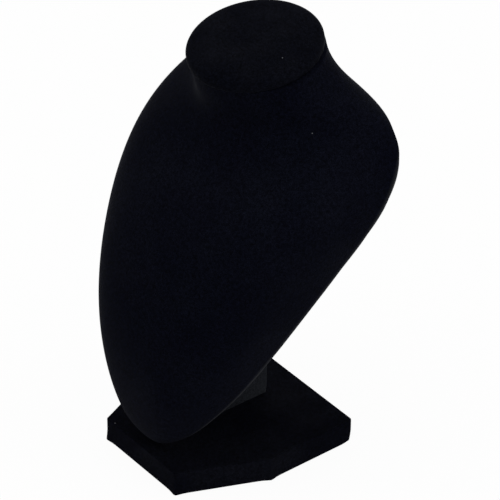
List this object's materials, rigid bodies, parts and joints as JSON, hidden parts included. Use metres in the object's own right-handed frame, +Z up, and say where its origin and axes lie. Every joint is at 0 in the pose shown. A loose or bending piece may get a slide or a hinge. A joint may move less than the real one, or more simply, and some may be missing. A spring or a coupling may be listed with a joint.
{
  "type": "necklace stand",
  "caption": "Bust-shaped necklace display stand covered in velvet, with a padded neck top, leaning back on a leg over a six-sided base.",
  "frame": {"origin": "centre of the base's underside", "axes": "+Z up, the bust faces -Y, +X to the bust's left"},
  "size_m": [0.149, 0.1288, 0.24],
  "materials": {
    "velvet": "matte",
    "fibreboard": "matte",
    "moulding": "matte",
    "foam": "matte",
    "backing": "matte",
    "steel": "satin"
  },
  "bodies": {
    "root": {"base_board": "fibreboard", "base_cover": "velvet", "base_sheet": "backing", "leg_board": "fibreboard", "leg_cover": "velvet", "back_board": "fibreboard", "back_cover": "velvet", "bust_shell": "moulding", "bust_cover": "velvet", "neck_board": "fibreboard", "neck_pad": "foam", "neck_cover": "velvet", "screws": "steel"}
  },
  "joints": []
}
